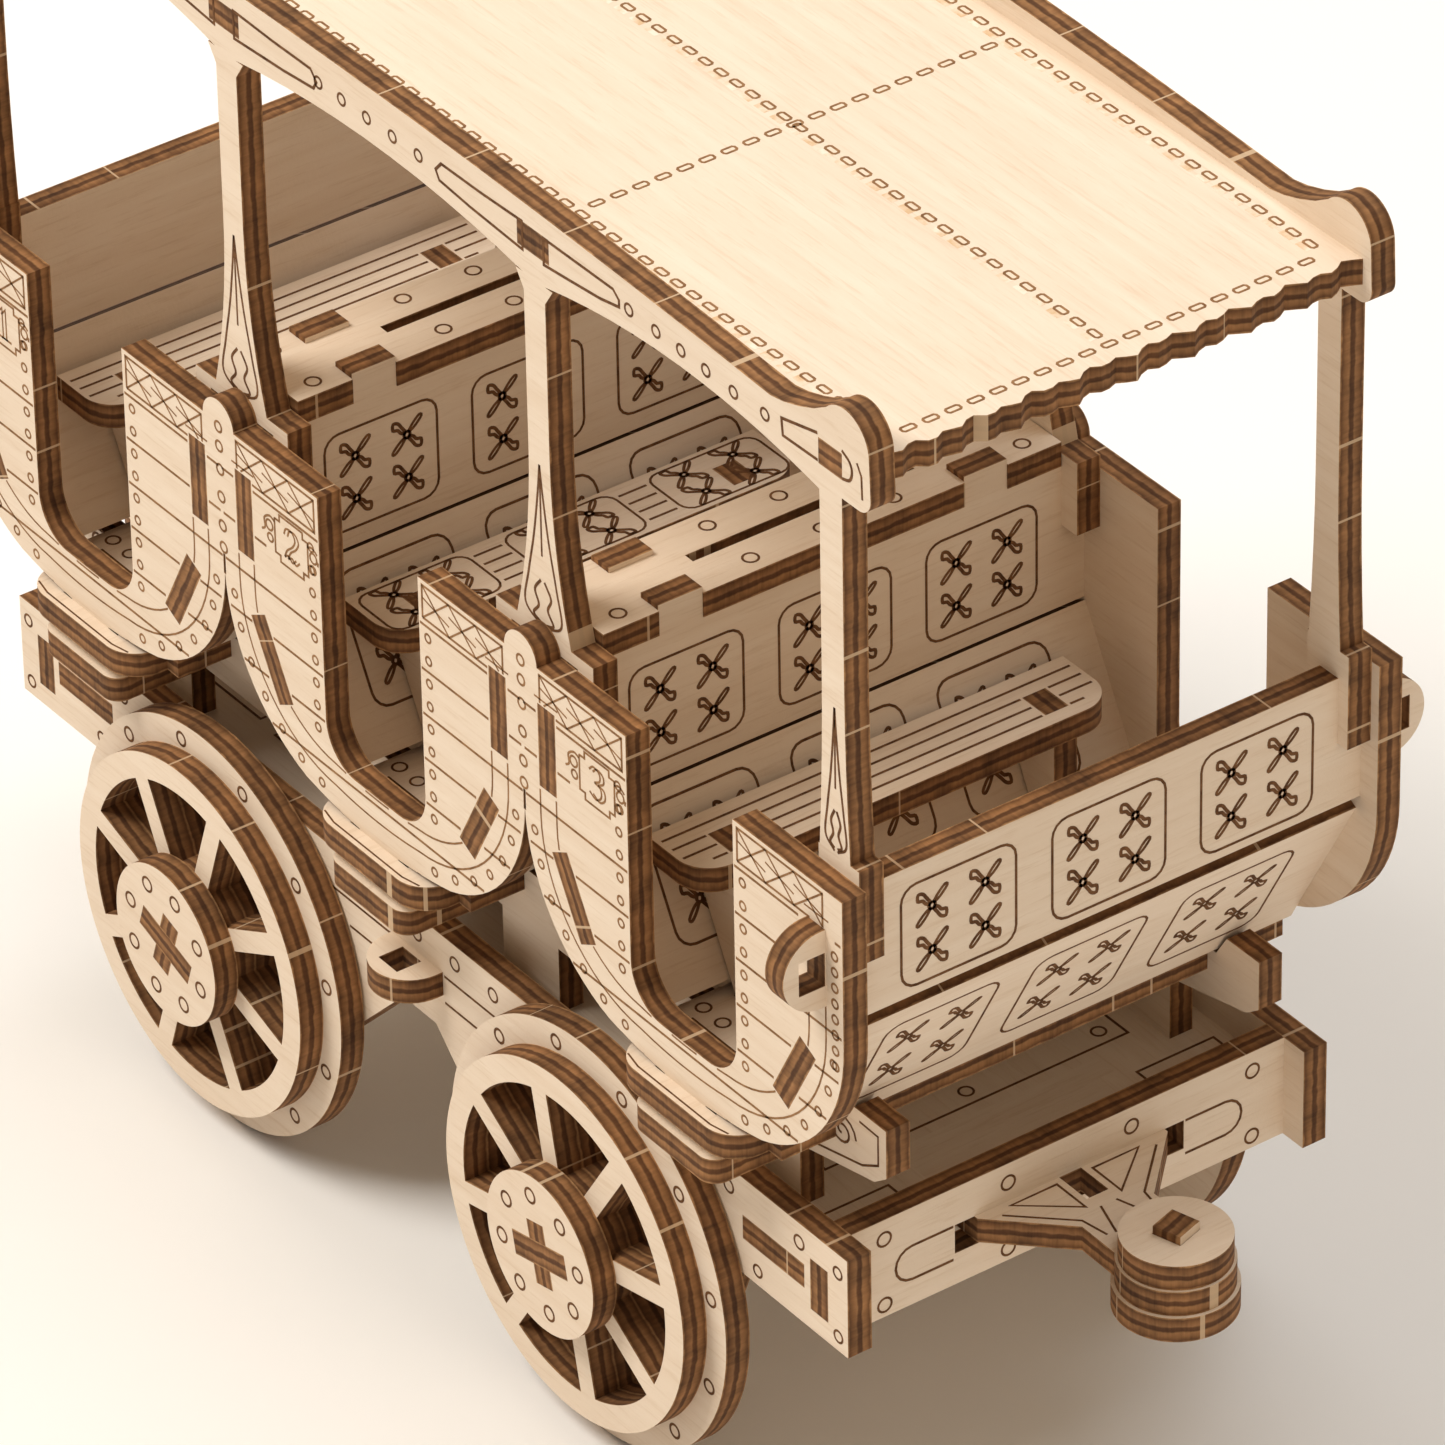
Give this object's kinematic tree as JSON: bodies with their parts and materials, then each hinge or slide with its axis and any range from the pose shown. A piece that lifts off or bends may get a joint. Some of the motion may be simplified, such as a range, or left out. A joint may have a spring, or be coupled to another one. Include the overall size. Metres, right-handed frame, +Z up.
{
  "type": "open-sided railway coach model",
  "caption": "Roofed, open-sided railway coach model of laser-cut plywood, with bench compartments, spoked wheelsets and pin couplings.",
  "frame": {"origin": "middle of the coach's footprint, at the level where the wheel flanges rest", "axes": "+X towards the front coupling with its pin, +Y towards the left side, +Z up"},
  "size_m": [0.1922, 0.0804, 0.1475],
  "materials": {
    "plywood": "bare sanded birch plywood with scorched laser-cut edges",
    "plywood_edge": "scorched plywood end grain"
  },
  "bodies": {
    "chassis_and_body": {"chassis_deck": "plywood", "side_beam_right": "plywood", "side_beam_left": "plywood", "end_beam_front": "plywood", "end_beam_rear": "plywood", "bolster_right": "plywood", "bolster_left": "plywood", "step_support_1": "plywood", "step_support_2": "plywood", "step_support_3": "plywood", "coupler_tongue_front": "plywood", "coupler_tongue_rear": "plywood", "coupler_discs_front": "plywood", "coupler_discs_rear": "plywood", "floor_1": "plywood", "floor_2": "plywood", "floor_3": "plywood", "side_panel_right": "plywood", "side_panel_left": "plywood", "end_board_front": "plywood", "end_board_rear": "plywood", "end_lower_board_front": "plywood", "end_lower_board_rear": "plywood", "backrest_1_front": "plywood", "backrest_2_rear": "plywood", "backrest_2_front": "plywood", "backrest_3_rear": "plywood", "lower_board_1_front": "plywood", "lower_board_2_rear": "plywood", "lower_board_2_front": "plywood", "lower_board_3_rear": "plywood", "top_plate_rear": "plywood", "top_plate_front": "plywood", "seat_1_rear": "plywood", "seat_1_front": "plywood", "seat_2_rear": "plywood", "seat_2_front": "plywood", "seat_3_rear": "plywood", "seat_3_front": "plywood", "seat_legs_1": "plywood", "seat_legs_2": "plywood", "seat_legs_3": "plywood", "arcade_right": "plywood", "arcade_left": "plywood", "roof_deck": "plywood"},
    "front_wheelset": {"front_axle_long_strip": "plywood_edge", "front_axle_cross_strip": "plywood_edge", "front_tread_right": "plywood", "front_tread_left": "plywood", "front_flange_right": "plywood", "front_flange_left": "plywood", "front_hub_caps": "plywood"},
    "rear_wheelset": {"rear_axle_long_strip": "plywood_edge", "rear_axle_cross_strip": "plywood_edge", "rear_tread_right": "plywood", "rear_tread_left": "plywood", "rear_flange_right": "plywood", "rear_flange_left": "plywood", "rear_hub_caps": "plywood"},
    "pin": {"coupling_pin": "plywood_edge"}
  },
  "joints": [
    {"name": "front_axle_spin", "type": "hinge", "parent": "chassis_and_body", "child": "front_wheelset", "pos_m": [0.0345, 0, 0.0243], "axis": [0, 1, 0], "continuous": true},
    {"name": "rear_axle_spin", "type": "hinge", "parent": "chassis_and_body", "child": "rear_wheelset", "pos_m": [-0.0345, 0, 0.0243], "axis": [0, 1, 0], "continuous": true},
    {"name": "coupling_pin_lift", "type": "slide", "parent": "chassis_and_body", "child": "pin", "axis": [0, 0, 1], "range_m": [0, 0.012]}
  ]
}
